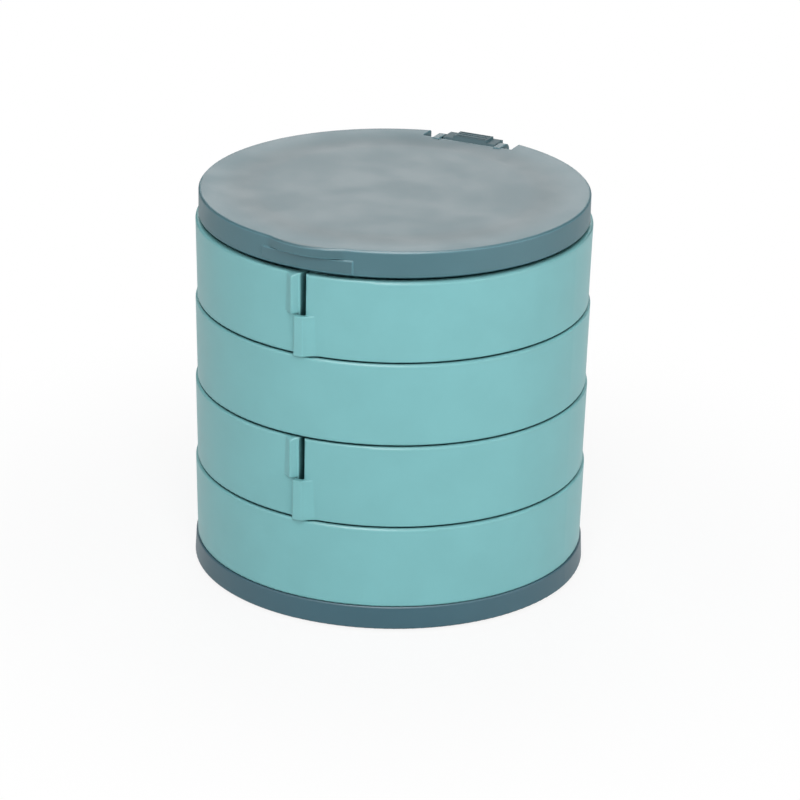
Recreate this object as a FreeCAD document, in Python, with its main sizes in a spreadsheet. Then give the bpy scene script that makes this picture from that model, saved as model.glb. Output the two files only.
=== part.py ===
import FreeCAD
import Part
import Sketcher
import math
import os
import re

# Round jewelry box with four tray layers on one upright rod at the back.
# The upper and lower split layers are two half-moon trays each, which swing out to the left and right.
# The lid turns up on a pin just above the rod and carries a round mirror.
# +Z is up, +X is to the right of someone facing the box, and the front is -Y.
# The origin is the centre of the surface that the box stands on.

SIZES = [
    ("foot_stand", 0.6, "foot pads stand this far below the base's rim"),
    ("foot_thickness", 1.6, "foot pad thickness"),
    ("foot_radius", 4.5, "foot pad radius"),
    ("foot_circle", 38.0, "radius of the circle that the foot pads lie on"),
    ("base_radius", 50.7, "base radius at its top edge"),
    ("base_flare", 0.3, "how much wider the base is at its rim"),
    ("base_height", 5.9, "base height from rim to top"),
    ("base_wall", 2.0, "base skirt thickness"),
    ("base_floor", 2.2, "base plate thickness"),
    ("base_rib", 1.4, "thickness of the ribs under the base"),
    ("base_rib_drop", 2.2, "height of the ribs under the base"),
    ("tray_radius", 50.3, "tray outer radius at its bottom edge"),
    ("tray_draft", 0.5, "how much wider a tray is at its rim"),
    ("tray_height", 21.5, "tray height"),
    ("tray_gap", 0.4, "seam between two layers"),
    ("tray_wall", 1.6, "tray wall thickness at the bottom"),
    ("tray_floor", 1.6, "tray floor thickness"),
    ("top_trim", 0.5, "the upper layer stops this much lower, under the lid"),
    ("divider_wall", 1.2, "divider thickness"),
    ("divider_drop", 4.0, "dividers stop this far below the rim"),
    ("half_divider", 3.0, "y of the divider in a half tray"),
    ("rim_round", 0.5, "rounding of a tray's outer rim"),
    ("foot_round", 0.3, "rounding of a tray's bottom edge"),
    ("parting_gap", 1.4, "slot between the two half trays"),
    ("swing_angle", 80.0, "how far each half tray swings out"),
    ("swing_margin", 2.0, "angle left between the two rear faces at full swing"),
    ("hinge_back", 46.5, "y of the rod and of the lid pin"),
    ("rod_radius", 2.0, "rod radius"),
    ("rod_flat", 1.5, "distance of the rod's flat from its axis"),
    ("rod_fit", 0.03, "clearance of fixed pieces on the rod and pin"),
    ("running_clearance", 0.05, "radial clearance of what turns"),
    ("knuckle_radius", 3.6, "outer radius of the tray knuckles and bosses"),
    ("knuckle_wall", 1.4, "wall round the space for the other tray's knuckle"),
    ("knuckle_play", 0.2, "axial play between knuckles"),
    ("knuckle_clear", 0.35, "radial space round the other tray's knuckle"),
    ("lip_out", 1.6, "how far the upper left finger lip stands out"),
    ("lip_ramp", 9.0, "radius of the hollow ramp of the upper left lip"),
    ("lip_crest", 0.35, "rounding of the upper left lip's crest"),
    ("lip_fall", 0.7, "how far the top of the upper left lip falls towards its crest"),
    ("lip_bevel", 1.75, "width of the bevel of the upper left lip"),
    ("tab_out", 2.1, "how far the lower right finger tab stands out"),
    ("tab_reach", 2.5, "how far the tab reaches over the other tray"),
    ("tab_crest", 0.9, "x of the tab's crest beside the slot"),
    ("tab_ramp", 7.0, "radius of the hollow ramp of the tab"),
    ("tab_round", 0.6, "rounding of the tab's free edge"),
    ("tab_thickness", 1.45, "thickness of the tab"),
    ("lip_gap", 0.3, "gap between the left lip and the tab below it"),
    ("wall_round", 0.8, "rounding of the right tray's front corner"),
    ("lid_gap", 0.8, "gap between the lid and the upper trays"),
    ("lid_radius", 50.0, "lid radius"),
    ("lid_height", 6.8, "lid height"),
    ("lid_wall", 1.8, "lid skirt thickness"),
    ("lid_top", 2.0, "lid thickness at the rim"),
    ("lid_bevel", 0.4, "bevel of the lid's top edge"),
    ("dish_depth", 0.5, "depth of the shallow dish in the lid"),
    ("dish_radius", 38.0, "radius of the dish's flat middle"),
    ("dish_rim", 46.5, "radius at which the dish begins"),
    ("thumb_out", 1.7, "how far the thumb lip stands out"),
    ("thumb_half", 10.2, "half the width of the thumb lip"),
    ("thumb_thickness", 2.6, "thickness of the thumb lip"),
    ("thumb_blend", 9.0, "hollow rounding where the thumb lip leaves the lid's edge"),
    ("patch_half", 12.5, "half the width of the raised patch on the skirt"),
    ("patch_out", 0.3, "how far the patch stands out"),
    ("patch_height", 3.9, "height of the patch"),
    ("notch_half", 12.9, "half the width of the notch for the hinge"),
    ("notch_reach", 3.3, "distance of the notch's front from the pin axis"),
    ("notch_wall", 1.4, "wall round the notch"),
    ("head_half", 7.6, "half the width of the hinge head"),
    ("head_middle", 4.8, "half the width of the raised middle of the head"),
    ("head_gap", 0.3, "gap between the upper trays and the hinge head"),
    ("pin_depth", 2.2, "pin axis below the lid's top"),
    ("nose_radius", 3.0, "rounding of the head's front about the pin"),
    ("head_back", 2.9, "distance of the head's rear face from the pin axis"),
    ("head_rise", 0.55, "height of the head's middle above its ends"),
    ("groove_width", 0.7, "width of the grooves on the head"),
    ("groove_pitch", 1.5, "distance between the grooves"),
    ("groove_depth", 0.3, "depth of the grooves"),
    ("ear_start", 7.9, "inner face of a lid ear"),
    ("ear_width", 1.9, "width of a lid ear"),
    ("ear_wall", 2.2, "radius of a lid ear about the pin"),
    ("pin_radius", 1.0, "lid pin radius"),
    ("rod_rise", 1.6, "rod end above the pin axis"),
    ("boss_drop", 1.1, "rod boss below the base plate"),
    ("screw_radius", 1.0, "screw shank radius"),
    ("screw_length", 8.0, "screw shank length"),
    ("screw_head_radius", 1.9, "screw head radius"),
    ("screw_head", 1.4, "screw head height"),
    ("washer_radius", 2.4, "washer radius"),
    ("washer_thickness", 0.5, "washer thickness"),
    ("rod_short", 0.3, "rod end above the face that the washer bears on"),
    ("mirror_radius", 39.5, "mirror radius"),
    ("mirror_thickness", 1.6, "mirror thickness"),
    ("pad_radius", 37.0, "radius of the foam pad behind the mirror"),
    ("pad_thickness", 0.4, "thickness of the foam pad"),
    ("ring_radius", 41.2, "outer radius of the mirror ring"),
    ("ring_cover", 1.5, "how far the ring's lip covers the mirror's edge"),
    ("ring_lip", 0.9, "thickness of the ring's lip"),
    ("ring_fit", 0.05, "clearance round the mirror and the ring"),
    ("collar_wall", 1.2, "thickness of the lid's collar round the ring"),
    ("collar_drop", 2.2, "height of the collar"),
]

Vector = FreeCAD.Vector
doc = FreeCAD.newDocument("jewelry_box")
sheet = doc.addObject("Spreadsheet::Sheet", "Sizes")
for row, (alias, value, note) in enumerate(SIZES, start=1):
    sheet.set(f"A{row}", alias)
    sheet.set(f"B{row}", str(value))
    sheet.set(f"C{row}", note)
    sheet.setAlias(f"B{row}", alias)
doc.recompute()

ALIASES = {alias for alias, _, _ in SIZES}


def bound(text):
    """An expression in size names, as the document's expressions write them."""
    return re.sub(r"[a-z]\w*", lambda m: "Sizes." + m[0] if m[0] in ALIASES else m[0], text)


def number(text):
    """The present value of an expression in size names."""
    value = sheet.evalExpression(bound(text))
    return float(getattr(value, "Value", value))


# Heights that several pieces share, in size names.
BASE_TOP = "(foot_stand + base_height)"
PITCH = "(tray_height + tray_gap)"
TOP_HEIGHT = "(tray_height - top_trim)"
LID_BOTTOM = f"({BASE_TOP} + 3 * {PITCH} + {TOP_HEIGHT} + lid_gap)"
PIN_HEIGHT = "(lid_height - pin_depth)"
PIN_Z = f"({LID_BOTTOM} + {PIN_HEIGHT})"
HEAD_BOTTOM = f"({LID_BOTTOM} - lid_gap + head_gap)"
BOSS_BOTTOM = f"({BASE_TOP} - base_floor - boss_drop)"
ROD_BOTTOM = f"({BOSS_BOTTOM} + rod_short)"
INNER_RADIUS = "(tray_radius - tray_wall)"
LID_CEILING = "(lid_height - lid_top)"
BOSS_HEIGHT = "(tray_height + tray_gap - knuckle_play)"


def layer_height(layer):
    """Height of a layer's underside; layer 0 is the lowest."""
    return f"({BASE_TOP} + {layer} * {PITCH})"


def new_body(label, height="0"):
    """A body whose own origin is lifted to the given height."""
    body = doc.addObject("PartDesign::Body", label)
    body.Label = label
    body.setExpression("Placement.Base.z", bound(height))
    return body


def new_sketch(body, plane, height="0"):
    """A sketch on one of the body's origin planes, moved along that plane's normal."""
    sketch = body.newObject("Sketcher::SketchObject", body.Name + "_sketch")
    origin_plane = next(o for o in body.Origin.OriginFeatures if o.Role == plane)
    sketch.AttachmentSupport = [(origin_plane, "")]
    sketch.MapMode = "FlatFace"
    sketch.setExpression("AttachmentOffset.Base.z", bound(height))
    return sketch


def drive(sketch, constraint, name, expression):
    """Adds a constraint whose value follows an expression."""
    index = sketch.addConstraint(constraint)
    sketch.renameConstraint(index, name)
    sketch.setExpression("Constraints." + name, bound(expression))


def place_point(sketch, edge, end, name, x, y):
    """Fixes the x, the y or both of a point; None leaves that one free."""
    for kind, expression in (("DistanceX", x), ("DistanceY", y)):
        if expression is not None:
            constraint = Sketcher.Constraint(kind, -1, 1, edge, end, number(expression))
            drive(sketch, constraint, name + kind[-1].lower(), expression)


def circle(body, plane, height, x, y, *radii):
    """A sketch of one circle, or of several about the same centre."""
    sketch = new_sketch(body, plane, height)
    for index, radius in enumerate(radii):
        centre = Vector(number(x), number(y), 0)
        sketch.addGeometry(Part.Circle(centre, Vector(0, 0, 1), number(radius)), False)
        place_point(sketch, index, 3, f"centre{index}", x, y)
        constraint = Sketcher.Constraint("Radius", index, number(radius))
        drive(sketch, constraint, f"radius{index}", radius)
    return sketch


def outline(body, plane, height, corners, arcs=None):
    """A sketch of a closed outline.

    corners: (x, y, fixed) with fixed one of "xy", "x", "y" or "", the coordinates that are held.
    arcs: for an edge that starts at corner i, (centre x, centre y, radius, turn), turn +1 for an
    arc that runs anticlockwise from corner i.
    """
    arcs = arcs or {}
    sketch = new_sketch(body, plane, height)
    points = [Vector(number(x), number(y), 0) for x, y, _ in corners]
    count = len(points)
    starts, ends = [], []
    for i in range(count):
        a, b = points[i], points[(i + 1) % count]
        if i in arcs:
            cx, cy, radius, turn = arcs[i]
            centre = Vector(number(cx), number(cy), 0)
            first, last = (a, b) if turn > 0 else (b, a)
            angles = [math.atan2(p.y - centre.y, p.x - centre.x) for p in (first, last)]
            if angles[1] <= angles[0]:
                angles[1] += 2 * math.pi
            base = Part.Circle(centre, Vector(0, 0, 1), number(radius))
            sketch.addGeometry(Part.ArcOfCircle(base, *angles), False)
            starts.append(1 if turn > 0 else 2)
            ends.append(2 if turn > 0 else 1)
        else:
            sketch.addGeometry(Part.LineSegment(a, b), False)
            starts.append(1)
            ends.append(2)
    for i in range(count):
        after = (i + 1) % count
        sketch.addConstraint(Sketcher.Constraint("Coincident", i, ends[i], after, starts[after]))
    for i, (cx, cy, radius, _) in arcs.items():
        place_point(sketch, i, 3, f"centre{i}", cx, cy)
        drive(sketch, Sketcher.Constraint("Radius", i, number(radius)), f"radius{i}", radius)
    for i, (x, y, fixed) in enumerate(corners):
        held_x = x if "x" in fixed else None
        held_y = y if "y" in fixed else None
        place_point(sketch, i, starts[i], f"corner{i}", held_x, held_y)
    return sketch


def vertical(sketch, edge):
    """Keeps a line of the sketch vertical."""
    sketch.addConstraint(Sketcher.Constraint("Vertical", edge))


def polygon(body, plane, height, *corners):
    """A sketch of a closed outline of straight lines."""
    return outline(body, plane, height, [(x, y, "xy") for x, y in corners])


def finish_feature(body, feature, grows):
    """Recomputes the document and makes sure that the feature did its work."""
    before = body.Tip.BaseFeature.Shape.Volume if body.Tip.BaseFeature else 0.0
    doc.recompute()
    change = feature.Shape.Volume - before
    if "Invalid" in feature.State or change * (1 if grows else -1) < 1e-4:
        raise RuntimeError(f"{body.Label}: {feature.Name} {feature.State} changed {change:.4f}")
    return feature


def pad(body, sketch, length, midplane=False):
    """Adds the sketch's area, carried along its normal."""
    feature = body.newObject("PartDesign::Pad", body.Name + "_pad")
    feature.Profile = sketch
    feature.Midplane = midplane
    feature.setExpression("Length", bound(length))
    return finish_feature(body, feature, True)


def pocket(body, sketch, length=None, midplane=False):
    """Removes the sketch's area along its normal, over a length or all the way."""
    feature = body.newObject("PartDesign::Pocket", body.Name + "_pocket")
    feature.Profile = sketch
    feature.Reversed = not midplane
    feature.Midplane = midplane
    if length is None:
        feature.Type = "ThroughAll"
    else:
        feature.setExpression("Length", bound(length))
    return finish_feature(body, feature, False)


def revolve(body, *corners):
    """A solid of revolution about Z; the corners are (radius, height)."""
    feature = body.newObject("PartDesign::Revolution", body.Name + "_revolution")
    sketch = polygon(body, "XZ_Plane", "0", *corners)
    feature.Profile = sketch
    feature.ReferenceAxis = (sketch, ["V_Axis"])
    feature.Angle = 360.0
    return finish_feature(body, feature, True)


def ease_edges(body, kind, measure, size, wanted):
    """Eases the edges of the body's last feature for which wanted(edge) is true."""
    base = body.Tip
    names = [f"Edge{i}" for i, edge in enumerate(base.Shape.Edges, start=1) if wanted(edge)]
    if not names:
        raise RuntimeError(f"{body.Label}: no edge to ease")
    feature = body.newObject("PartDesign::" + kind, body.Name + "_" + kind.lower())
    feature.Base = (base, names)
    feature.setExpression(measure, bound(size))
    doc.recompute()
    if "Invalid" in feature.State or not feature.Shape.isValid():
        raise RuntimeError(f"{body.Label}: {feature.Name} {feature.State}")
    return feature


def round_edges(body, radius, wanted):
    return ease_edges(body, "Fillet", "Radius", radius, wanted)


def bevel_edges(body, size, wanted):
    return ease_edges(body, "Chamfer", "Size", size, wanted)


def outer_top_edge(radius, height):
    """Picks the edges of a top face that lie at or outside this radius."""
    least, wanted_height = number(radius), number(height)

    def wanted(edge):
        box = edge.BoundBox
        flat = box.ZLength < 1e-4 and abs(box.ZMin - wanted_height) < 1e-3
        middle = edge.valueAt((edge.FirstParameter + edge.LastParameter) / 2)
        return flat and math.hypot(middle.x, middle.y) > least - 1e-3

    return wanted


def ring_edge(radius, height):
    """Picks the circular edge of this radius and height about the body's own axis."""
    wanted_radius, wanted_height = number(radius), number(height)

    def wanted(edge):
        box = edge.BoundBox
        flat = box.ZLength < 1e-4 and abs(box.ZMin - wanted_height) < 1e-3
        return flat and abs(box.XMax - wanted_radius) < 1e-3 and abs(box.XMin + wanted_radius) < 1e-3

    return wanted


def upright_edge(x, y):
    """Picks the upright edge whose ends lie near (x, y)."""
    place = Vector(number(x), number(y), 0)

    def wanted(edge):
        ends = [Vector(v.X, v.Y, 0) for v in edge.Vertexes]
        box = edge.BoundBox
        return len(ends) == 2 and box.ZLength > 1.0 and all((e - place).Length < 0.25 for e in ends)

    return wanted


def flat_rod_outline(body, height, clearance):
    """The rod's round section with its flat at the back, grown by a clearance."""
    radius = f"(rod_radius + {clearance})"
    flat = f"(rod_flat + {clearance})"
    half = f"sqrt({radius} * {radius} - {flat} * {flat})"
    corners = [
        (f"-{half}", f"hinge_back + {flat}", "y"),
        (half, f"hinge_back + {flat}", "y"),
    ]
    return outline(body, "XY_Plane", height, corners, {1: ("0", "hinge_back", radius, -1)})


def tray_blank(body, height):
    """The drafted solid that a tray is cut from, with its rim and bottom edge rounded."""
    rim_radius = f"(tray_radius + tray_draft * {height} / tray_height)"
    blank = body.newObject("PartDesign::AdditiveCone", body.Name + "_blank")
    blank.setExpression("Radius1", bound("tray_radius"))
    blank.setExpression("Radius2", bound(rim_radius))
    blank.setExpression("Height", bound(height))
    doc.recompute()
    round_edges(body, "rim_round", ring_edge(rim_radius, height))
    round_edges(body, "foot_round", ring_edge("tray_radius", "0"))


def whole_tray(label, layer):
    """A round tray with a cross of dividers and a boss that is keyed on the rod."""
    body = new_body(label, layer_height(layer))
    tray_blank(body, "tray_height")
    pocket(body, circle(body, "XY_Plane", "tray_floor", "0", "0", INNER_RADIUS))
    reach = "(tray_radius - tray_wall / 2)"
    half = "divider_wall / 2"
    top = "tray_height - divider_drop"
    lengthwise = [
        (f"-{half}", f"-{reach}"), (half, f"-{reach}"),
        (half, "hinge_back"), (f"-{half}", "hinge_back"),
    ]
    crosswise = [(f"-{reach}", f"-{half}"), (reach, f"-{half}"), (reach, half), (f"-{reach}", half)]
    for corners in (lengthwise, crosswise):
        pad(body, polygon(body, "XY_Plane", "0", *corners), top)
    pad(body, circle(body, "XY_Plane", "0", "0", "hinge_back", "knuckle_radius"), BOSS_HEIGHT)
    pocket(body, flat_rod_outline(body, "-1", "rod_fit"))
    return body


def half_tray(label, layer, side, height):
    """A half-moon tray. The left one (side -1) has its knuckle and lip in the upper half of its
    height, and the right one (side 1) has its knuckle and tab in the lower half."""
    body = new_body(label, layer_height(layer))
    tray_blank(body, height)
    split = f"({height} / 2)"
    cup_radius = "(knuckle_radius + knuckle_clear + knuckle_wall)"
    parting = f"{side} * (parting_gap / 2)"
    inner = f"{side} * (parting_gap / 2 + tray_wall)"
    inner_length = "(parting_gap / 2 + tray_wall)"
    rear = "(hinge_back - tray_wall)"

    # The compartment: along the parting wall, round the knuckle, along the rear wall, round the rim.
    corners = [
        (inner, f"-sqrt({INNER_RADIUS}^2 - {inner_length}^2)", "x"),
        (inner, f"hinge_back - sqrt({cup_radius}^2 - {inner_length}^2)", "x"),
        (f"{side} * sqrt({cup_radius}^2 - tray_wall^2)", rear, "y"),
        (f"{side} * sqrt({INNER_RADIUS}^2 - {rear}^2)", rear, "y"),
    ]
    arcs = {
        1: ("0", "hinge_back", cup_radius, side),
        3: ("0", "0", INNER_RADIUS, -side),
    }
    pocket(body, outline(body, "XY_Plane", "tray_floor", corners, arcs))
    reach = f"{side} * (tray_radius - tray_wall / 2)"
    low, high = "half_divider - divider_wall / 2", "half_divider + divider_wall / 2"
    corners = [(parting, low), (reach, low), (reach, high), (parting, high)]
    pad(body, polygon(body, "XY_Plane", "0", *corners), f"{height} - divider_drop")

    # Away goes the other half, and the wedge behind the rod that the two halves need to swing.
    far = "(tray_radius + 20)"
    slope = "tan(90 - swing_angle - swing_margin)"
    corners = [
        (parting, f"-{far}"),
        (f"{-side} * {far}", f"-{far}"),
        (f"{-side} * {far}", far),
        (f"{side} * {far}", far),
        (f"{side} * {far}", f"hinge_back + {far} * {slope}"),
        (parting, f"hinge_back + parting_gap / 2 * {slope}"),
    ]
    pocket(body, polygon(body, "XY_Plane", "-1", *corners))

    # The knuckle, the space for the other tray's knuckle, and the bore.
    above, below = f"{split} + knuckle_play / 2", f"{split} - knuckle_play / 2"
    own_low, own_high = (above, height) if side < 0 else ("0", below)
    other_low, other_high = ("-1", above) if side < 0 else (below, f"{height} + 1")
    knuckle = circle(body, "XY_Plane", own_low, "0", "hinge_back", "knuckle_radius")
    pad(body, knuckle, f"{own_high} - ({own_low})")
    clearance = circle(body, "XY_Plane", other_low, "0", "hinge_back", "knuckle_radius + knuckle_clear")
    pocket(body, clearance, f"{other_high} - ({other_low})")
    bore = circle(body, "XY_Plane", "-1", "0", "hinge_back", "rod_radius + running_clearance")
    pocket(body, bore)

    if side < 0:
        left_lip(body, split, height)
    else:
        right_tab(body, split, height)
    return body


def hollow_ramp(wall, crest_x, crest_y, ramp, side):
    """Centre of the arc that leaves a wall circle at a tangent and ends at the crest.

    The ramp lies on the given side of the crest, and its arc bulges towards the tray's middle.
    """
    far = f"({wall} + {ramp})"
    crest = f"sqrt({crest_x}^2 + {crest_y}^2)"
    between = f"acos(({far}^2 + {crest}^2 - {ramp}^2) / (2 * {far} * {crest}))"
    angle = f"(atan({crest_x} / {crest_y}) + {side} * {between})"
    return angle, f"({far} * sin{angle})", f"(-{far} * cos{angle})"


def left_lip(body, split, height):
    """The upper left finger lip: a hollow ramp that rises to a crest, and a bevel to the slot."""
    crest_x = "(parting_gap / 2 + lip_bevel)"
    crest_y = "(tray_radius + tray_draft * 0.75 + lip_out)"
    wall = "(tray_radius - tray_wall / 5)"
    end = "(parting_gap / 2)"
    end_y = "(tray_radius - tray_draft / 4)"
    inside = "(tray_radius - tray_wall * 3 / 4)"
    angle, centre_x, centre_y = hollow_ramp(wall, f"(-{crest_x})", crest_y, "lip_ramp", -1)
    start = f"({wall} * sin{angle})"
    corners = [
        (start, f"(-{wall} * cos{angle})", "x"),
        (f"-{crest_x}", f"-{crest_y}", "x"),
        (f"-{end}", f"-{end_y}", "xy"),
        (f"-{end}", f"-sqrt({inside}^2 - {end}^2)", "xy"),
        (start, f"-sqrt({inside}^2 - {start}^2)", "xy"),
    ]
    low = f"({split} + 2 / 3 * lip_gap)"
    arcs = {0: (centre_x, centre_y, "lip_ramp", -1)}
    pad(body, outline(body, "XY_Plane", low, corners, arcs), f"{height} - {low}")
    round_edges(body, "lip_crest", upright_edge(f"-{crest_x}", f"-{crest_y}"))
    rim, far = "(tray_radius + tray_draft)", "(tray_radius + tray_draft + 2 * lip_out)"
    fall = polygon(
        body, "YZ_Plane", "0",
        (f"-{rim}", height), (f"-{rim}", f"{height} + 1"),
        (f"-{far}", f"{height} + 1"), (f"-{far}", f"{height} - 2 * lip_fall"),
    )
    pocket(body, fall, "4 * lip_ramp", midplane=True)


def right_tab(body, split, height):
    """The lower right finger tab, which reaches over the end of the left tray."""
    root = "(parting_gap / 2)"
    tip = "(parting_gap / 2 - tab_reach)"
    outer = "(tray_radius + tab_out)"
    back = f"({outer} - tab_thickness)"
    wall = "(tray_radius - tray_wall / 5)"
    inside = "(tray_radius - tray_wall * 3 / 4)"
    angle, centre_x, centre_y = hollow_ramp(wall, "tab_crest", outer, "tab_ramp", 1)
    start = f"({wall} * sin{angle})"
    corners = [
        (start, f"(-{wall} * cos{angle})", "x"),
        ("tab_crest", f"-{outer}", "x"),
        (tip, f"-{outer}", "xy"),
        (tip, f"-{back}", "xy"),
        (root, f"-{back}", "xy"),
        (root, f"-sqrt({inside}^2 - {root}^2)", "xy"),
        (start, f"-sqrt({inside}^2 - {start}^2)", "xy"),
    ]
    arcs = {0: (centre_x, centre_y, "tab_ramp", 1)}
    top = f"({split} - lip_gap / 3)"
    pad(body, outline(body, "XY_Plane", "0", corners, arcs), top)
    round_edges(body, "tab_round", upright_edge(tip, f"-{outer}"))

    # Above the tab the front corner of the wall is rounded, by an arc a little larger than the
    # rounding, so that it meets both faces at a small angle.
    arc = "(wall_round * 1.1)"
    centre_x = f"({root} + wall_round)"
    centre_y = "(wall_round - tray_radius - tray_draft * 3 / 4)"
    first_x, last_y = f"({centre_x} - wall_round * 1.05)", f"({centre_y} - wall_round * 1.08)"
    last_x = f"({centre_x} - sqrt({arc}^2 - ({last_y} - {centre_y})^2))"
    corners = [
        (first_x, f"({centre_y} - sqrt({arc}^2 - ({first_x} - {centre_x})^2))", "x"),
        (last_x, last_y, "y"),
        (last_x, f"({centre_y} - 3 * wall_round)", "y"),
        (first_x, f"({centre_y} - 3 * wall_round)", "xy"),
    ]
    sketch = outline(body, "XY_Plane", top, corners, {0: (centre_x, centre_y, arc, 1)})
    vertical(sketch, 1)
    pocket(body, sketch, f"{height} - {top} + 1")


def base_plate():
    """The base: a shallow cap with a flared skirt, ribs, foot bosses and the rod's boss below."""
    body = new_body("base_plate")
    under = f"{BASE_TOP} - base_floor"
    inner = "base_radius + base_flare - base_wall"
    revolve(
        body,
        ("0", BASE_TOP),
        ("base_radius", BASE_TOP),
        ("base_radius + base_flare", "foot_stand"),
        (inner, "foot_stand"),
        (inner, under),
        ("0", under),
    )
    round_edges(body, "foot_round", ring_edge("base_radius", BASE_TOP))
    round_edges(body, "foot_round", ring_edge("base_radius + base_flare", "foot_stand"))
    middle = f"{under} - base_rib_drop"
    half = "base_rib / 2 * cos(45)"
    reach = "(base_radius + base_flare - base_wall / 2) * cos(45)"
    rib = polygon(
        body, "XY_Plane", middle,
        (f"{half} - {reach}", f"-{half} - {reach}"),
        (f"{reach} + {half}", f"{reach} - {half}"),
        (f"{reach} - {half}", f"{reach} + {half}"),
        (f"-{half} - {reach}", f"{half} - {reach}"),
    )
    rib_pad = pad(body, rib, "base_rib_drop + base_floor / 2")
    repeat_round(body, rib_pad, 2, 180.0)
    boss = circle(
        body, "XY_Plane", "foot_thickness", "foot_circle * cos(45)", "foot_circle * sin(45)",
        "foot_radius + base_rib / 2",
    )
    boss_pad = pad(body, boss, f"{under} + base_floor / 2 - foot_thickness")
    repeat_round(body, boss_pad, 4, 360.0)
    rod_boss = circle(body, "XY_Plane", BOSS_BOTTOM, "0", "hinge_back", "knuckle_radius")
    pad(body, rod_boss, "boss_drop + base_floor / 2")
    pocket(body, flat_rod_outline(body, "0", "rod_fit"))
    return body


def repeat_round(body, feature, count, angle):
    """Repeats a feature round the body's upright axis."""
    pattern = body.newObject("PartDesign::PolarPattern", body.Name + "_pattern")
    pattern.Originals = [feature]
    upright = next(o for o in body.Origin.OriginFeatures if o.Role == "Z_Axis")
    pattern.Axis = (upright, [""])
    pattern.Angle = angle
    pattern.Occurrences = count
    body.Tip = pattern
    return finish_feature(body, pattern, True)


def lid_shell():
    """The lid: a dished cap with a thumb lip in front, and a notch with two ears at the back."""
    body = new_body("lid_shell", LID_BOTTOM)
    revolve(
        body,
        ("0", "0"),
        ("lid_radius - foot_round", "0"),
        ("lid_radius", "foot_round"),
        ("lid_radius", "lid_height"),
        ("dish_rim", "lid_height"),
        ("dish_radius", "lid_height - dish_depth"),
        ("0", "lid_height - dish_depth"),
    )
    # The thumb lip is the part of a smaller circle that stands outside the lid's edge.
    rise = "(lid_radius + thumb_out - sqrt(lid_radius^2 - thumb_half^2))"
    arc_radius = f"((thumb_half^2 + {rise}^2) / (2 * {rise}))"
    centre = f"-(lid_radius + thumb_out - {arc_radius})"
    inside = "(lid_radius - lid_wall * 3 / 4)"
    end = "(thumb_half + lid_wall / 4)"
    root = f"-sqrt({inside}^2 - {end}^2)"
    tip = f"({centre} - sqrt({arc_radius}^2 - {end}^2))"
    corners = [
        (f"-{end}", tip, "x"),
        (end, tip, "x"),
        (end, root, "xy"),
        (f"-{end}", root, "xy"),
    ]
    low = "lid_height - thumb_thickness"
    lip = outline(body, "XY_Plane", low, corners, {0: ("0", centre, arc_radius, 1)})
    pad(body, lip, "thumb_thickness")
    leave = "-sqrt(lid_radius^2 - thumb_half^2)"
    round_edges(body, "thumb_blend", upright_edge("thumb_half", leave))
    round_edges(body, "thumb_blend", upright_edge("-thumb_half", leave))
    bevel_edges(body, "lid_bevel", outer_top_edge("lid_radius", "lid_height"))
    edge = "(lid_radius + patch_out)"
    corners = [
        ("-patch_half", f"-sqrt({edge}^2 - patch_half^2)", "x"),
        ("patch_half", f"-sqrt({edge}^2 - patch_half^2)", "x"),
        ("patch_half", f"-sqrt({inside}^2 - patch_half^2)", "xy"),
        ("-patch_half", f"-sqrt({inside}^2 - patch_half^2)", "xy"),
    ]
    patch = outline(body, "XY_Plane", "1.5 * foot_round", corners, {0: ("0", "0", edge, 1)})
    pad(body, patch, "patch_height - 1.5 * foot_round")

    pocket(body, circle(body, "XY_Plane", "0", "0", "0", "lid_radius - lid_wall"), LID_CEILING)
    collar = circle(
        body, "XY_Plane", f"{LID_CEILING} - collar_drop", "0", "0",
        "ring_radius + ring_fit", "ring_radius + ring_fit + collar_wall",
    )
    pad(body, collar, "collar_drop + lid_top / 4")

    front = "(hinge_back - notch_reach)"
    outer = "(notch_half + notch_wall)"
    back = f"sqrt((lid_radius - lid_wall / 4)^2 - {outer}^2)"
    box = polygon(
        body, "XY_Plane", "0",
        (f"-{outer}", f"{front} - notch_wall"), (outer, f"{front} - notch_wall"),
        (outer, back), (f"-{outer}", back),
    )
    pad(body, box, f"{LID_CEILING} + lid_top / 4")
    notch = polygon(
        body, "XY_Plane", "-1",
        ("-notch_half", front), ("notch_half", front),
        ("notch_half", "lid_radius + 5"), ("-notch_half", "lid_radius + 5"),
    )
    pocket(body, notch)
    for start in ("ear_start", "-ear_start - ear_width"):
        root = f"{front} - notch_wall / 2"
        corners = [
            (root, f"{PIN_HEIGHT} + ear_wall", "xy"),
            ("hinge_back", f"{PIN_HEIGHT} + ear_wall", "x"),
            ("hinge_back", f"{PIN_HEIGHT} - ear_wall", "x"),
            (root, f"{PIN_HEIGHT} - ear_wall", "xy"),
        ]
        ear = outline(body, "YZ_Plane", start, corners, {1: ("hinge_back", PIN_HEIGHT, "ear_wall", -1)})
        pad(body, ear, "ear_width")
    bore = circle(body, "YZ_Plane", "0", "hinge_back", PIN_HEIGHT, "pin_radius + running_clearance")
    pocket(body, bore, "2 * (ear_start + 2 * ear_width)", midplane=True)
    return body


def head_section(body, top):
    """The head's side view: a block, its front rounded about the pin, with a flat top."""
    front, rear = "(hinge_back - nose_radius)", "(hinge_back + head_back)"
    corners = [
        (front, HEAD_BOTTOM, "xy"),
        (rear, HEAD_BOTTOM, "xy"),
        (rear, f"({PIN_Z} + {top})", "xy"),
        (f"(hinge_back - sqrt(nose_radius^2 - {top}^2))", f"({PIN_Z} + {top})", "y"),
        (front, PIN_Z, "y"),
    ]
    return outline(body, "YZ_Plane", "0", corners, {3: ("hinge_back", PIN_Z, "nose_radius", 1)})


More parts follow.
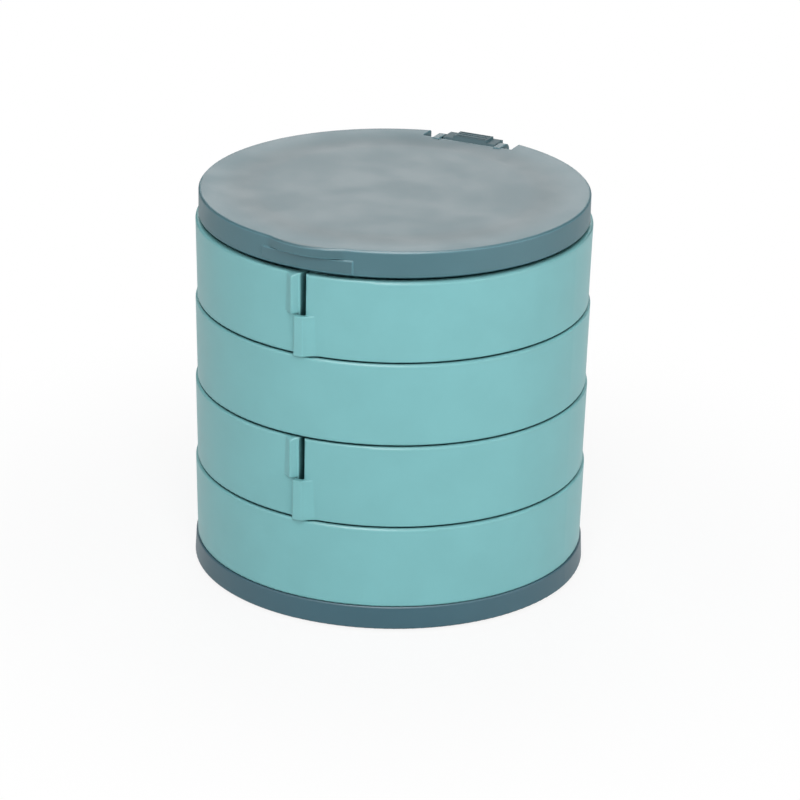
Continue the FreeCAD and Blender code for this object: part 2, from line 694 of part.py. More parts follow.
def hinge_head():
    """The head on the rod: a block with a rounded front, its middle raised and grooved."""
    body = new_body("hinge_head")
    middle = "(pin_depth + head_rise)"
    pad(body, head_section(body, "pin_depth"), "2 * head_half", midplane=True)
    pad(body, head_section(body, middle), "2 * head_middle", midplane=True)
    for place in (-1, 0, 1):
        y = f"(hinge_back + head_back / 4 + {place} * groove_pitch)"
        low, top = f"({PIN_Z} + {middle} - groove_depth)", f"({PIN_Z} + {middle} + 1)"
        groove = polygon(
            body, "YZ_Plane", "0",
            (f"{y} - groove_width / 2", low), (f"{y} + groove_width / 2", low),
            (f"{y} + groove_width / 2", top), (f"{y} - groove_width / 2", top),
        )
        pocket(body, groove, "2 * (head_middle - groove_width)", midplane=True)
    socket = flat_rod_outline(body, f"{HEAD_BOTTOM} - 1", "rod_fit")
    pocket(body, socket, f"{PIN_Z} + rod_rise + 0.1 - {HEAD_BOTTOM} + 1")
    bore = circle(body, "YZ_Plane", "0", "hinge_back", PIN_Z, "pin_radius + rod_fit")
    pocket(body, bore, "2 * head_half + 2", midplane=True)
    return body


def post_rod():
    """The steel rod, with a flat along its back, a cross hole for the lid pin and a threaded end."""
    body = new_body("post_rod")
    pad(body, flat_rod_outline(body, ROD_BOTTOM, "0"), f"{PIN_Z} + rod_rise - {ROD_BOTTOM}")
    cross = circle(body, "YZ_Plane", "0", "hinge_back", PIN_Z, "pin_radius + rod_fit")
    pocket(body, cross, "2 * rod_radius + 2", midplane=True)
    thread = circle(body, "XY_Plane", f"{ROD_BOTTOM} - 1", "0", "hinge_back", "screw_radius + rod_fit")
    pocket(body, thread, "screw_length + 1.5")
    return body


def post_washer():
    body = new_body("post_washer")
    ring = circle(
        body, "XY_Plane", f"{BOSS_BOTTOM} - washer_thickness", "0", "hinge_back",
        "screw_radius + 2 * rod_fit", "washer_radius",
    )
    pad(body, ring, "washer_thickness")
    return body


def post_screw():
    body = new_body("post_screw")
    seat = f"({BOSS_BOTTOM} - washer_thickness)"
    head = circle(body, "XY_Plane", f"{seat} - screw_head", "0", "hinge_back", "screw_head_radius")
    pad(body, head, "screw_head")
    shank = circle(body, "XY_Plane", f"{seat} - screw_head / 2", "0", "hinge_back", "screw_radius")
    pad(body, shank, "screw_length + screw_head / 2")
    return body


def lid_hinge_pin():
    body = new_body("lid_hinge_pin")
    pin = circle(body, "YZ_Plane", "0", "hinge_back", PIN_Z, "pin_radius")
    pad(body, pin, "2 * (ear_start + ear_width - rod_fit)", midplane=True)
    return body


def foot_pads():
    """Four rubber pads as one group."""
    pads = []
    for index in range(4):
        foot = doc.addObject("Part::Cylinder", f"foot_{index}")
        foot.setExpression("Radius", bound("foot_radius"))
        foot.setExpression("Height", bound("foot_thickness"))
        angle = 45 + 90 * index
        foot.setExpression("Placement.Base.x", bound(f"foot_circle * cos({angle})"))
        foot.setExpression("Placement.Base.y", bound(f"foot_circle * sin({angle})"))
        pads.append(foot)
    group = doc.addObject("Part::Compound", "foot_pads")
    group.Label = "foot_pads"
    group.Links = pads
    return group


MIRROR_BACK = f"({LID_BOTTOM} + {LID_CEILING} - pad_thickness)"


def disc(label, radius, low, thickness):
    """A plain round disc on the box's axis."""
    piece = doc.addObject("Part::Cylinder", label)
    piece.Label = label
    piece.setExpression("Radius", bound(radius))
    piece.setExpression("Height", bound(thickness))
    piece.setExpression("Placement.Base.z", bound(low))
    return piece


def mirror_ring():
    """The snap ring: a hoop round the mirror with a lip that covers its edge."""
    body = new_body("mirror_ring", LID_BOTTOM)
    hoop = "mirror_radius + ring_fit"
    lip_top = f"{LID_CEILING} - pad_thickness - mirror_thickness"
    revolve(
        body,
        (hoop, LID_CEILING),
        ("ring_radius", LID_CEILING),
        ("ring_radius", f"{lip_top} - ring_lip"),
        ("mirror_radius - ring_cover", f"{lip_top} - ring_lip"),
        ("mirror_radius - ring_cover", lip_top),
        (hoop, lip_top),
    )
    return body


pieces = [
    base_plate(),
    foot_pads(),
    post_rod(),
    post_washer(),
    post_screw(),
    hinge_head(),
    whole_tray("bottom_tray", 0),
    half_tray("lower_left_tray", 1, -1, "tray_height"),
    half_tray("lower_right_tray", 1, 1, "tray_height"),
    whole_tray("middle_tray", 2),
    half_tray("upper_left_tray", 3, -1, TOP_HEIGHT),
    half_tray("upper_right_tray", 3, 1, TOP_HEIGHT),
    lid_shell(),
    lid_hinge_pin(),
    disc("mirror_pad", "pad_radius", MIRROR_BACK, "pad_thickness"),
    disc("lid_mirror", "mirror_radius", f"{MIRROR_BACK} - mirror_thickness", "mirror_thickness"),
    mirror_ring(),
]

doc.recompute()
for item in doc.Objects:
    if "Invalid" in item.State or "Error" in item.State:
        raise RuntimeError(f"{item.Label}: {item.State}")
os.makedirs("parts", exist_ok=True)
for piece in pieces:
    shape = piece.Shape
    if shape.isNull() or not shape.isValid() or not shape.Solids:
        raise RuntimeError(f"{piece.Label}: no valid solid")
    shape.exportStep(os.path.join("parts", piece.Label + ".step"))
    box = shape.BoundBox
    print(f"{piece.Label}: {len(shape.Solids)} solid, {shape.Volume:.0f} mm3, "
          f"z {box.ZMin:.2f} to {box.ZMax:.2f}")
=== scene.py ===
# %% [markdown]
# # A round jewelry box with swinging trays
#
# The box is a stack on one upright rod: a base, four tray layers and a lid. Two of the layers
# are split into half-moon trays that swing out. The shapes and the joints come from the packed
# CAD model. This script gives them their finish, a studio to stand in and a camera.

# %% Kit and units
import math

import bpy
import numpy as np
from mathutils import Matrix, Vector

MM = 0.001
scene = bpy.context.scene
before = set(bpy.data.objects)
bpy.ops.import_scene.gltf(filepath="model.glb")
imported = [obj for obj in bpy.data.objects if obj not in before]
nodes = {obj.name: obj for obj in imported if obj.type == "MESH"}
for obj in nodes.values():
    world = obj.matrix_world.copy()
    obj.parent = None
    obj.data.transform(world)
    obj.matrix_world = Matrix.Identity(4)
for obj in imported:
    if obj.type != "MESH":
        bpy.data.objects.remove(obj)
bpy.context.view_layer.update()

# %% [markdown]
# ## Camera
#
# Product shots of small things are taken with a long lens from a step away, which keeps the
# sides of the box nearly upright. The view is a little to the right of the box's front and
# looks down on the lid. The camera is placed by a direction from a target point, so that each
# value has a meaning: turn, height angle, distance, and a small roll about the line of sight.

# %% Camera
VIEW_TURN = math.radians(25.7)
VIEW_RISE = math.radians(21.73)
VIEW_ROLL = math.radians(1.108)
VIEW_DISTANCE = 935.8 * MM
AIM_SIDE = 2.302 * MM
AIM_HEIGHT = 42.47 * MM
FOCAL_PIXELS = 3591.3
FRAME_PIXELS = 800.0
SENSOR_WIDTH = 36.0
CLIP_END = 20.0


def direction_towards(turn_angle, rise_angle):
    """A unit vector: the turn is measured from the box's front, the rise from the table."""
    return Vector((
        math.cos(rise_angle) * math.sin(turn_angle),
        -math.cos(rise_angle) * math.cos(turn_angle),
        math.sin(rise_angle),
    ))


view_right = Vector((math.cos(VIEW_TURN), math.sin(VIEW_TURN), 0.0))
view_back = direction_towards(VIEW_TURN, VIEW_RISE)
view_up = view_back.cross(view_right)
rolled_right = view_right * math.cos(VIEW_ROLL) + view_up * math.sin(VIEW_ROLL)
rolled_up = view_up * math.cos(VIEW_ROLL) - view_right * math.sin(VIEW_ROLL)
target = view_right * AIM_SIDE + Vector((0.0, 0.0, AIM_HEIGHT))

camera_data = bpy.data.cameras.new("camera")
camera_data.sensor_width = SENSOR_WIDTH
camera_data.lens = FOCAL_PIXELS / FRAME_PIXELS * SENSOR_WIDTH
camera_data.clip_end = CLIP_END
camera = bpy.data.objects.new("camera", camera_data)
scene.collection.objects.link(camera)
facing = Matrix((rolled_right, rolled_up, view_back)).transposed().to_4x4()
camera.matrix_world = Matrix.Translation(target + view_back * VIEW_DISTANCE) @ facing
scene.camera = camera
print("lens", round(camera_data.lens, 1), "mm")

# %% [markdown]
# ## Writing shader maths as Python
#
# A finish is easier to read as a formula than as a web of nodes. This small class stands for a
# number that comes out of a socket. Its operators add Math nodes, so that `1 - mask * 0.3`
# builds what it says. Colours and vectors go through their own nodes, because a Math node
# would turn them grey.

# %% Shader values


class Shader:
    """The node tree of one material or world."""

    def __init__(self, tree):
        self.tree = tree
        tree.nodes.clear()

    def node(self, kind, settings=None, **inputs):
        """Adds a node. Settings come first, then sockets.

        A socket is named with _ for a space, or by its place, such as i0 for the first one.
        """
        made = self.tree.nodes.new(kind)
        for name, value in (settings or {}).items():
            setattr(made, name, value)
        for name, value in inputs.items():
            by_place = name[0] == "i" and name[1:].isdigit()
            key = int(name[1:]) if by_place else name.replace("_", " ")
            self.feed(made.inputs[key], value)
        return made

    def vector(self, operation, *values):
        """Adds a Vector Math node."""
        places = {f"i{place}": value for place, value in enumerate(values)}
        return self.node("ShaderNodeVectorMath", {"operation": operation}, **places)

    def feed(self, socket, value):
        """Links a value that is a socket, or sets a plain number or colour."""
        if isinstance(value, Number):
            value = value.socket
        if isinstance(value, bpy.types.NodeSocket):
            self.tree.links.new(value, socket)
        else:
            socket.default_value = value

    def number(self, socket):
        """The socket as a number that can be reckoned with."""
        return Number(self, socket)


class Number:
    """A number that varies over the surface. Its operators add Math nodes."""

    def __init__(self, shader, socket):
        self.shader = shader
        self.socket = socket

    def math(self, operation, *values):
        places = {f"i{place}": value for place, value in enumerate(values)}
        made = self.shader.node("ShaderNodeMath", {"operation": operation}, **places)
        return Number(self.shader, made.outputs[0])

    def __add__(self, other):
        return self.math("ADD", self, other)

    def __radd__(self, other):
        return self.math("ADD", other, self)

    def __sub__(self, other):
        return self.math("SUBTRACT", self, other)

    def __rsub__(self, other):
        return self.math("SUBTRACT", other, self)

    def __mul__(self, other):
        return self.math("MULTIPLY", self, other)

    def __rmul__(self, other):
        return self.math("MULTIPLY", other, self)

    def between(self, low, high, kind):
        made = self.shader.node(
            "ShaderNodeMapRange", {"interpolation_type": kind},
            Value=self, From_Min=low, From_Max=high,
        )
        return Number(self.shader, made.outputs["Result"])

    def ramp(self, low, high):
        """0 below low, 1 above high, with a straight change between them."""
        return self.between(low, high, "LINEAR")

    def smooth(self, low, high):
        """0 below low, 1 above high, with an S-shaped change between them."""
        return self.between(low, high, "SMOOTHSTEP")


# %% [markdown]
# ## Colours as they are seen
#
# A colour is easiest to read off a screen, as three numbers from 0 to 255. Light adds up in
# another scale, in which half as bright is half the number, and shaders want that one.

# %% Materials and colours


def new_material(name):
    """A material with a Principled BSDF. Returns it, its shader tree, the BSDF and the output."""
    material = bpy.data.materials.new(name)
    material.use_nodes = True
    shader = Shader(material.node_tree)
    surface = shader.node("ShaderNodeBsdfPrincipled")
    output = shader.node("ShaderNodeOutputMaterial", Surface=surface.outputs[0])
    return material, shader, surface, output


def linear(red, green, blue):
    """The linear colour of a screen colour given as 0 to 255."""
    def channel(value):
        value /= 255.0
        return value / 12.92 if value <= 0.04045 else ((value + 0.055) / 1.055) ** 2.4
    return (channel(red), channel(green), channel(blue), 1.0)


print("screen grey 128 is", round(linear(128, 128, 128)[0], 3), "of white's light")

# %% [markdown]
# ## Table
#
# The box stands on a white table that runs out to white all round. A table lit like the box
# would turn grey where the light falls off, so its material fades into plain white light away
# from the box. Close to the box a part of it is real matt white, and keeps a soft shadow. From
# below the table is clear, so that the underside of the box can be looked at too. It lies a
# hair below the feet, because two surfaces in one place flicker.

# %% Table
TABLE_RADIUS = 3.0
TABLE_TOP = -0.02 * MM
TABLE_RINGS = 24
TABLE_STEPS = 96


def disc_surface(name, radius, height, rings, steps):
    """A flat disc: a point is radius * ring^2 * (cos turn, sin turn), for ring 0 to 1."""
    ring = np.linspace(0.0, 1.0, rings) ** 2 * radius
    angle = np.linspace(0.0, 2.0 * np.pi, steps, endpoint=False)
    r, a = np.meshgrid(ring[1:], angle, indexing="ij")
    points = np.stack([r * np.cos(a), r * np.sin(a), np.full_like(r, height)], axis=-1)
    points = np.vstack([[[0.0, 0.0, height]], points.reshape(-1, 3)])
    index = 1 + np.arange((rings - 1) * steps).reshape(rings - 1, steps)
    after = np.roll(index, -1, axis=1)
    quads = np.stack([index[:-1], index[1:], after[1:], after[:-1]], axis=-1).reshape(-1, 4)
    fan = np.stack([np.zeros(steps, int), index[0], after[0]], axis=-1)
    mesh = bpy.data.meshes.new(name)
    mesh.from_pydata(points.tolist(), [], fan.tolist() + quads.tolist())
    made = bpy.data.objects.new(name, mesh)
    scene.collection.objects.link(made)
    return made


table = disc_surface("table", TABLE_RADIUS, TABLE_TOP, TABLE_RINGS, TABLE_STEPS)
print("table", len(table.data.vertices), "points")

# %% Table finish
FADE_START = 0.06
FADE_END = 0.18
FADE_NEAR = 0.85
WHITE = (1.0, 1.0, 1.0, 1.0)
MATT_WHITE = (0.92, 0.92, 0.92, 1.0)
TABLE_ROUGHNESS = 0.9
TABLE_GLOSS = 0.1


def seen_by(shader, *rays):
    """1 for the named kinds of ray and 0 for all others, by their sum held to 0 to 1."""
    path = shader.node("ShaderNodeLightPath")
    total = shader.number(path.outputs[rays[0]])
    for ray in rays[1:]:
        total = total + shader.number(path.outputs[ray])
    return total.smooth(0.0, 1.0)


table_material, shader, surface, output = new_material("table_white")
surface.inputs["Base Color"].default_value = MATT_WHITE
surface.inputs["Roughness"].default_value = TABLE_ROUGHNESS
surface.inputs["Specular IOR Level"].default_value = TABLE_GLOSS
place = shader.node("ShaderNodeNewGeometry")
away = shader.number(shader.vector("LENGTH", place.outputs["Position"]).outputs["Value"])
fade = away.smooth(FADE_START, FADE_END) * (1.0 - FADE_NEAR) + FADE_NEAR
seen = seen_by(shader, "Is Camera Ray", "Is Glossy Ray", "Is Transmission Ray")
white = shader.node("ShaderNodeEmission", Color=WHITE, Strength=1.0)
clear = shader.node("ShaderNodeBsdfTransparent")
from_above = shader.node(
    "ShaderNodeMixShader", i0=seen * fade, i1=surface.outputs[0], i2=white.outputs[0],
)
one_sided = shader.node(
    "ShaderNodeMixShader",
    i0=place.outputs["Backfacing"], i1=from_above.outputs[0], i2=clear.outputs[0],
)
shader.feed(output.inputs["Surface"], one_sided.outputs[0])
table.data.materials.append(table_material)
print("the table fades to white from", FADE_START, "to", FADE_END, "m")

# %% [markdown]
# ## World and lamps
#
# In the photo the light is soft and comes from all sides, a little more from the front. A dim
# white world gives the even part, and four soft boxes round the box the rest. The world shows
# as full white only to the camera and through clear things, so that the ground is white
# without more light on the box.
#
# Satin plastic also shows pale upright bands, where it mirrors something bright at its sides.
# Three lamps make those bands, and light the gloss only. Two of them stand low at the sides, so
# they are large and weak: a small strong lamp there would blow the lid out to white for anyone
# who looks along it from the other side.

# %% World and lamps
AMBIENT = 0.3
LAMP_DISTANCE = 0.9
LAMP_AIM = Vector((0.0, 0.0, 50.0 * MM))
# Name, turn from the camera's side and rise in degrees, width, height, power, gloss only.
LAMPS = (
    ("front_lamp", 0.0, 35.0, 0.5, 0.5, 5.6, False),
    ("right_lamp", 75.0, 10.0, 0.5, 0.3, 1.4, False),
    ("left_lamp", -75.0, 10.0, 0.5, 0.3, 0.3, False),
    ("back_lamp", 180.0, 28.0, 0.5, 0.5, 2.7, False),
    ("left_sheen", -60.0, 10.0, 1.0, 0.8, 5.0, True),
    ("right_sheen", 62.0, 10.0, 1.0, 0.8, 5.5, True),
    ("rim_sheen", 0.0, 70.0, 0.5, 0.3, 16.0, True),
)

world = bpy.data.worlds.new("studio")
scene.world = world
world.use_nodes = True
shader = Shader(world.node_tree)
seen = seen_by(shader, "Is Camera Ray", "Is Transmission Ray")
background = shader.node(
    "ShaderNodeBackground", Color=WHITE, Strength=seen * (1.0 - AMBIENT) + AMBIENT,
)
shader.node("ShaderNodeOutputWorld", Surface=background.outputs[0])


def soft_box(name, turn_degrees, rise_degrees, width, height, power, gloss_only):
    """A rectangular lamp that faces the box."""
    turn_angle = VIEW_TURN + math.radians(turn_degrees)
    direction = direction_towards(turn_angle, math.radians(rise_degrees))
    lamp_data = bpy.data.lights.new(name, "AREA")
    lamp_data.shape = "RECTANGLE"
    lamp_data.size = width
    lamp_data.size_y = height
    lamp_data.energy = power
    lamp = bpy.data.objects.new(name, lamp_data)
    scene.collection.objects.link(lamp)
    lamp.location = LAMP_AIM + direction * LAMP_DISTANCE
    lamp.rotation_euler = direction.to_track_quat("Z", "Y").to_euler()
    lamp.visible_diffuse = not gloss_only


for row in LAMPS:
    soft_box(*row)
scene.view_settings.view_transform = "Standard"

# %% [markdown]
# ## Colour and noise helpers
#
# Three small tools serve every finish: a mix of two colours, a colour made lighter or darker,
# and a noise whose spots have a size in real units. All patterns read Object coordinates, so
# they stay on a tray when it swings out.

# %% Colour and noise helpers


def mixed(shader, share, first, second):
    """A colour between two, by a share of 0 to 1."""
    made = shader.node(
        "ShaderNodeMix", {"data_type": "RGBA"}, i0=share, i6=first, i7=second,
    )
    return made.outputs[2]


def shaded(colour, factor):
    """A colour made lighter or darker by one factor."""
    return tuple(min(1.0, channel * factor) for channel in colour[:3]) + (1.0,)


def noise(shader, where, size, detail=1.0):
    """A noise value of 0 to 1, whose spots are about as wide as size, in metres."""
    made = shader.node("ShaderNodeTexNoise", Vector=where, Scale=1.0 / size, Detail=detail)
    return shader.number(made.outputs[0])


# %% [markdown]
# ## Edges and seams
#
# No moulded edge is quite sharp. The Bevel node turns the normal smoothly over an edge without
# any new faces, which suits meshes that must not be changed. Where that turned normal leaves
# the real one there is an edge: plastic gets a painted highlight there with some rub wear, and
# steel is rubbed bright. Deep seams get a painted shade, which an ambient occlusion mask
# finds: it tells how much of the near surroundings is shut off.

# %% Edges and seams
SEAM_DEPTH = 4.0 * MM
SEAM_START = 0.5
SEAM_FULL = 0.85
EDGE_FULL = 0.12
BEVEL_SAMPLES = 6
SEAM_SAMPLES = 8


def edges_and_seams(shader, radius):
    """The normal turned over edges of a radius, a mask of the edges and one of deep seams for
    painted shade.
    """
    bevel = shader.node("ShaderNodeBevel", {"samples": BEVEL_SAMPLES}, Radius=radius)
    geometry = shader.node("ShaderNodeNewGeometry")
    agree = shader.vector("DOT_PRODUCT", bevel.outputs[0], geometry.outputs["Normal"])
    open_air = shader.node(
        "ShaderNodeAmbientOcclusion", {"samples": SEAM_SAMPLES}, Distance=SEAM_DEPTH,
    )
    edge = (1.0 - shader.number(agree.outputs["Value"])).smooth(0.0, EDGE_FULL)
    # The mask of deep seams, where shade is painted into the colour.
    painted_seam_shade = (1.0 - shader.number(open_air.outputs["AO"])).smooth(SEAM_START, SEAM_FULL)
    return bevel.outputs[0], edge, painted_seam_shade


# %% [markdown]
# ## The lid's dish
#
# The lid's top is a shallow dish inside a flat rim. The CAD has it as a straight cone, 0.5 mm
# deep, and a real moulding runs smoothly from rim to middle. A bump adds what is missing and
# makes the dish read a little deeper. The rim is painted paler, a painted sheen, and the foot
# of the slope darker, a painted shade. All of it depends only on the distance from the axis, so
# one number drives it.

# %% The lid's dish
DISH_FLAT = 38.0 * MM
DISH_RIM = 46.5 * MM
DISH_SPREAD = 2.0 * MM
DISH_DEPTH = 0.5 * MM
DISH_EXTRA = 0.5 * MM
RIM_END = 49.8 * MM
RIM_FADE = 0.5 * MM
# How far the painted shade at the foot of the slope reaches inside and outside the flat.
SLOPE_SHADE_INSIDE = 6.0 * MM
SLOPE_SHADE_OUTSIDE = 2.0 * MM


def lid_dish(shader, where):
    """The relief of the dish in metres, a mask of the rim's painted sheen and one of the slope's
    painted shade.

    The relief is a smooth and slightly deeper dish less the CAD's cone.
    """
    flat = shader.vector("MULTIPLY", where, (1.0, 1.0, 0.0))
    radius = shader.number(shader.vector("LENGTH", flat.outputs[0]).outputs["Value"])
    cone = radius.ramp(DISH_FLAT, DISH_RIM)
    smooth = radius.smooth(DISH_FLAT - DISH_SPREAD, DISH_RIM + DISH_SPREAD)
    relief = smooth * (DISH_DEPTH + DISH_EXTRA) - cone * DISH_DEPTH
    # Painted sheen on the rim, and painted shade at the foot of the slope.
    painted_rim_sheen = smooth * (1.0 - radius.smooth(RIM_END, RIM_END + RIM_FADE))
    painted_slope_shade = radius.smooth(DISH_FLAT - SLOPE_SHADE_INSIDE, DISH_FLAT + SLOPE_SHADE_OUTSIDE) * (1.0 - smooth)
    return relief, painted_rim_sheen, painted_slope_shade


# %% [markdown]
# ## Moulded plastic
#
# Trays, lid, head and base are moulded in one colour each, with a satin surface from the fine
# texture of the mould. That texture is far too small to model, so a noise with a very small
# bump stands for it. A larger noise makes gloss and colour vary a little, as on handled
# plastic. The feet are rubber, which is made the same way, only darker, rougher and grainier.

# %% Plastic finishes
GRAIN_SIZE = 0.25 * MM
GRAIN_STRENGTH = 0.4
CLOUD_SIZE = 12.0 * MM
CLOUD_DETAIL = 3.0
CLOUD_START = 0.3
CLOUD_FULL = 0.7
EDGE_RADIUS = 0.6 * MM
# How far edges take their painted highlight and rub wear.
EDGE_HIGHLIGHT_SHARE = 0.7
DISH_SHARE = 0.6
# Colour factors of the rim's painted sheen and the slope's painted shade.
RIM_SHEEN = 1.35
SLOPE_SHADE_DARK = 0.72
# Colours of the painted shade in deep seams.
DARK_SEAM_SHADE = linear(12, 28, 33)
TEAL_SEAM_SHADE = linear(4, 56, 58)
RUBBER_SEAM_SHADE = linear(11, 11, 12)


def clouds(shader, where):
    """Soft patches of 0 to 1, the size of a fingertip."""
    return noise(shader, where, CLOUD_SIZE, CLOUD_DETAIL).smooth(CLOUD_START, CLOUD_FULL)


def plastic(
    name, colour, roughness, grain, edge_highlight_and_wear=1.25, seam_shade=DARK_SEAM_SHADE, gloss=0.5, mottle=0.02, dish=None,
):
    """Satin plastic.

    The grain is a height in metres. The edge factor lightens the edges as a painted highlight
    with some rub wear, the seam colour is painted shade in deep seams, and mottle is how far the
    patches change colour and roughness.
    """
    material, shader, surface, _ = new_material(name)
    where = shader.node("ShaderNodeTexCoord").outputs["Object"]
    cloud = clouds(shader, where)
    normal, edge, painted_seam_shade = edges_and_seams(shader, EDGE_RADIUS)

    tint = mixed(shader, cloud, shaded(colour, 1.0 - mottle), shaded(colour, 1.0 + mottle))
    if dish:
        relief, painted_rim_sheen, painted_slope_shade = dish(shader, where)
        # Painted sheen on the rim, then painted shade at the foot of the slope.
        tint = mixed(shader, painted_rim_sheen * DISH_SHARE, tint, shaded(colour, RIM_SHEEN))
        tint = mixed(shader, painted_slope_shade * DISH_SHARE, tint, shaded(colour, SLOPE_SHADE_DARK))
        normal = shader.node(
            "ShaderNodeBump", Strength=1.0, Distance=1.0, Height=relief, Normal=normal,
        ).outputs[0]
    # Painted highlight along the edges, with some rub wear.
    tint = mixed(shader, edge * EDGE_HIGHLIGHT_SHARE, tint, shaded(colour, edge_highlight_and_wear))
    # Painted shade in deep seams.
    tint = mixed(shader, painted_seam_shade, tint, seam_shade)
    bump = shader.node(
        "ShaderNodeBump", Strength=GRAIN_STRENGTH, Distance=grain,
        Height=noise(shader, where, GRAIN_SIZE), Normal=normal,
    )
    shader.feed(surface.inputs["Base Color"], tint)
    shader.feed(surface.inputs["Roughness"], cloud * (2.0 * mottle) + (roughness - mottle))
    surface.inputs["Specular IOR Level"].default_value = gloss
    shader.feed(surface.inputs["Normal"], bump.outputs[0])
    return material


tray_blue = plastic(
    "tray_blue", linear(115, 174, 177), 0.42, 0.004 * MM, seam_shade=TEAL_SEAM_SHADE, gloss=0.35,
)
lid_grey = plastic(
    "lid_grey", linear(57, 96, 105), 0.48, 0.006 * MM, edge_highlight_and_wear=2.4, mottle=0.028, dish=lid_dish,
)
base_grey = plastic("base_grey", linear(44, 84, 97), 0.46, 0.004 * MM)
head_grey = plastic("head_grey", linear(66, 96, 104), 0.6, 0.03 * MM, gloss=0.25)
ring_grey = plastic("ring_grey", linear(57, 97, 108), 0.48, 0.006 * MM, edge_highlight_and_wear=1.6)
rubber = plastic(
    "pad_rubber", linear(48, 48, 50), 0.8, 0.03 * MM, edge_highlight_and_wear=1.6, seam_shade=RUBBER_SEAM_SHADE, gloss=0.3,
)
print("plastics:", [m.name for m in bpy.data.materials if m.name.endswith(("blue", "grey"))])

# %% [markdown]
# ## Turned steel
#
# The rod, pin, washer and screw are turned on a lathe from bright steel, which leaves fine
# rings round the axis. A noise that is squeezed along the axis and stretched across it gives
# them, both in the gloss and in a very small bump. The rod stands and the pin lies, so there
# is one steel for each direction. Little of it shows until the box is open.

# %% Turned steel
RING_SIZE = 0.12 * MM
RING_LENGTH = 6.0 * MM
RING_DEPTH = 0.002 * MM
STAIN_SIZE = 3.0 * MM
STAIN_DETAIL = 3.0
STAIN_START = 0.35
STAIN_FULL = 0.75
STAIN_DARK = 0.86
STEEL_EDGE = 0.2 * MM
STEEL_EDGE_SHARE = 0.6
STEEL_PALE = 1.2
STEEL_SEAM_SHADE = 0.3
STEEL_BUMP = 0.5
STEEL_ROUGHNESS = 0.2
RING_ROUGHNESS = 0.14
STAIN_ROUGHNESS = 0.1
STEEL_COLOUR = linear(205, 205, 206)
AXIS_X, AXIS_Z = 0, 2


def turned_steel(name, axis):
    """Turned steel: rings across the axis, faint stains, and bright rubbed edges."""
    material, shader, surface, _ = new_material(name)
    where = shader.node("ShaderNodeTexCoord").outputs["Object"]
    normal, edge, painted_seam_shade = edges_and_seams(shader, STEEL_EDGE)
    stretch = [RING_SIZE / RING_LENGTH] * 3
    stretch[axis] = 1.0
    squeezed = shader.vector("MULTIPLY", where, stretch)
    rings = noise(shader, squeezed.outputs[0], RING_SIZE)
    stain = noise(shader, where, STAIN_SIZE, STAIN_DETAIL).smooth(STAIN_START, STAIN_FULL)
    roughness = rings * RING_ROUGHNESS + stain * STAIN_ROUGHNESS + STEEL_ROUGHNESS

    tint = mixed(shader, stain, STEEL_COLOUR, shaded(STEEL_COLOUR, STAIN_DARK))
    tint = mixed(shader, edge * STEEL_EDGE_SHARE, tint, shaded(STEEL_COLOUR, STEEL_PALE))
    # Painted shade in deep seams.
    tint = mixed(shader, painted_seam_shade, tint, shaded(STEEL_COLOUR, STEEL_SEAM_SHADE))
    bump = shader.node(
        "ShaderNodeBump", Strength=STEEL_BUMP, Distance=RING_DEPTH, Height=rings, Normal=normal,
    )
    shader.feed(surface.inputs["Base Color"], tint)
    shader.feed(surface.inputs["Roughness"], roughness)
    surface.inputs["Metallic"].default_value = 1.0
    shader.feed(surface.inputs["Normal"], bump.outputs[0])
    return material


rod_steel = turned_steel("rod_steel", AXIS_Z)
pin_steel = turned_steel("pin_steel", AXIS_X)
print("steel rings", RING_SIZE / MM, "mm apart")

# %% [markdown]
# ## Foam and mirror
#
# The pad behind the mirror is foam, full of small open cells. A Voronoi pattern is a field of
# cells, and its distance from each cell's middle makes the pits and their walls, in the bump and
# in a painted shade that is darkest in the pits and lighter on the walls. The mirror is silvered
# glass. Its gloss varies a little where a cloth has wiped it, and its ground edge is duller and
# rougher. Its deep seams get a painted shade.

# %% Foam and mirror
CELL_SIZE = 0.7 * MM
CELL_DEPTH = 0.25 * MM
CELL_BUMP = 0.8
WALL_START = 0.15
WALL_FULL = 0.6
WALL_LIGHT = 1.1
PIT_SHADE = 0.55
SOIL_SHARE = 0.3
SOIL_DARK = 0.85
SOIL_ROUGHNESS = 0.08
FOAM_ROUGHNESS = 0.88
WIPE_SIZE = 9.0 * MM
WIPE_DETAIL = 4.0
WIPE_START = 0.45
WIPE_FULL = 0.75
WIPE_ROUGHNESS = 0.04
GLASS_ROUGHNESS = 0.02
GLASS_SEAM_SHADE = 0.35
GROUND_DULL = 0.8
GROUND_ROUGHNESS = 0.3


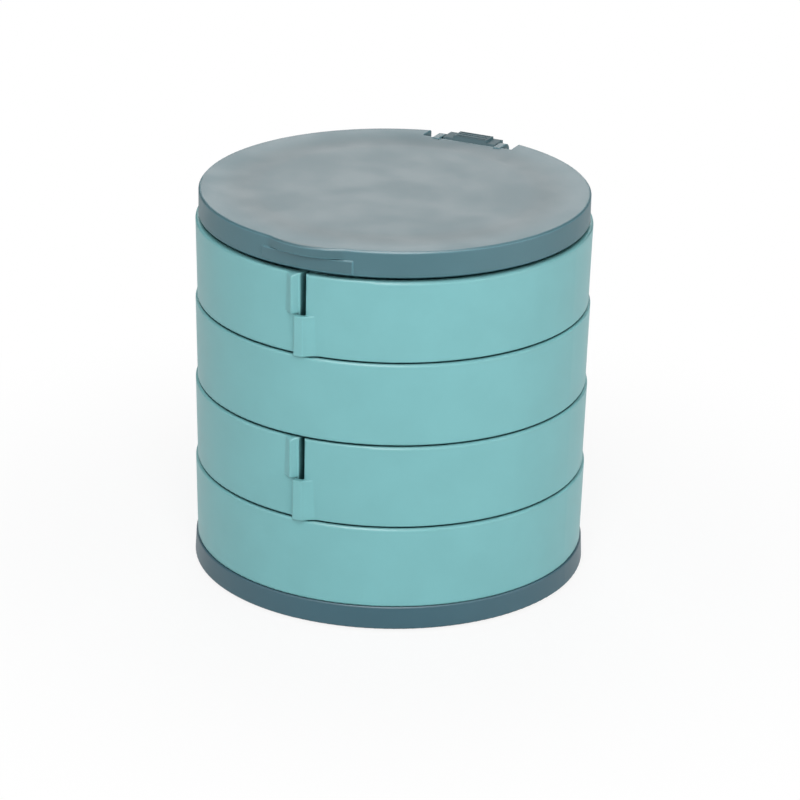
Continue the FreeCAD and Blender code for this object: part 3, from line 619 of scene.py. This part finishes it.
def open_foam(name, colour):
    """Foam: each cell is a pit, deepest at the middle of a Voronoi cell, with painted shade
    darkest there.
    """
    material, shader, surface, _ = new_material(name)
    where = shader.node("ShaderNodeTexCoord").outputs["Object"]
    cells = shader.node("ShaderNodeTexVoronoi", Vector=where, Scale=1.0 / CELL_SIZE)
    wall = shader.number(cells.outputs["Distance"]).smooth(WALL_START, WALL_FULL)
    cloud = clouds(shader, where)
    # Painted shade in the pits and painted light on the cell walls.
    tint = mixed(shader, wall, shaded(colour, PIT_SHADE), shaded(colour, WALL_LIGHT))
    tint = mixed(shader, cloud * SOIL_SHARE, tint, shaded(colour, SOIL_DARK))
    bump = shader.node("ShaderNodeBump", Strength=CELL_BUMP, Distance=CELL_DEPTH, Height=wall)
    shader.feed(surface.inputs["Base Color"], tint)
    shader.feed(surface.inputs["Roughness"], cloud * SOIL_ROUGHNESS + FOAM_ROUGHNESS)
    shader.feed(surface.inputs["Normal"], bump.outputs[0])
    return material


def silvered_glass(name, colour):
    """Mirror glass: almost no roughness, with faint wipe marks and a duller ground edge."""
    material, shader, surface, _ = new_material(name)
    where = shader.node("ShaderNodeTexCoord").outputs["Object"]
    wiped = noise(shader, where, WIPE_SIZE, WIPE_DETAIL).smooth(WIPE_START, WIPE_FULL)
    _, edge, painted_seam_shade = edges_and_seams(shader, STEEL_EDGE)
    roughness = wiped * WIPE_ROUGHNESS + edge * GROUND_ROUGHNESS + GLASS_ROUGHNESS
    tint = mixed(shader, edge, colour, shaded(colour, GROUND_DULL))
    # Painted shade in deep seams.
    tint = mixed(shader, painted_seam_shade, tint, shaded(colour, GLASS_SEAM_SHADE))
    shader.feed(surface.inputs["Base Color"], tint)
    shader.feed(surface.inputs["Roughness"], roughness)
    surface.inputs["Metallic"].default_value = 1.0
    return material


foam = open_foam("mirror_foam", linear(130, 132, 134))
mirror = silvered_glass("silvered_glass", linear(238, 240, 241))
print("foam cells", CELL_SIZE / MM, "mm wide")

# %% [markdown]
# ## Handing out the finishes
#
# The CAD meshes come with empty material slots. Each piece gets the finish of what it is made
# of, and nothing else about it is changed.

# %% Handing out the finishes
FINISH = {
    "base_plate": base_grey,
    "foot_pads": rubber,
    "post_rod": rod_steel,
    "post_washer": rod_steel,
    "post_screw": rod_steel,
    "hinge_head": head_grey,
    "bottom_tray": tray_blue,
    "lower_left_tray": tray_blue,
    "lower_right_tray": tray_blue,
    "middle_tray": tray_blue,
    "upper_left_tray": tray_blue,
    "upper_right_tray": tray_blue,
    "lid_shell": lid_grey,
    "lid_hinge_pin": pin_steel,
    "mirror_pad": foam,
    "lid_mirror": mirror,
    "mirror_ring": ring_grey,
}
for name, material in FINISH.items():
    slots = nodes[name].material_slots
    for slot in slots:
        slot.material = material
    print(name, len(slots), "slot", len(nodes[name].data.polygons), "faces")
